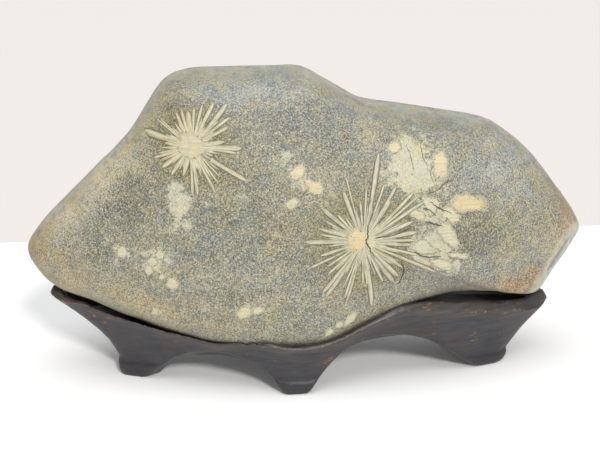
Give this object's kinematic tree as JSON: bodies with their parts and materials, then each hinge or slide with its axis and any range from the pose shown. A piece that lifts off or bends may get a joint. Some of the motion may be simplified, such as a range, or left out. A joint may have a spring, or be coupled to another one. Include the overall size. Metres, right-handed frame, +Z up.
{
  "type": "scholar's rock",
  "caption": "River-worn chrysanthemum stone with radiating pale crystal flowers, set upright in a fitted carved dark wooden stand with arched feet.",
  "frame": {"origin": "middle of the whole object's bounding box, at the height of the surface that the feet stand on", "axes": "+Z up; +X along the longer side of the stone, towards the broken end; -Y faces the viewer of the show side with the crystal flowers"},
  "size_m": [0.3027, 0.1012, 0.1677],
  "materials": {
    "stone": null,
    "wood": "dark stained and waxed hardwood, satin, rubbed brown along the rim"
  },
  "bodies": {
    "root": {"stone": "stone", "stand": "wood"}
  },
  "joints": []
}
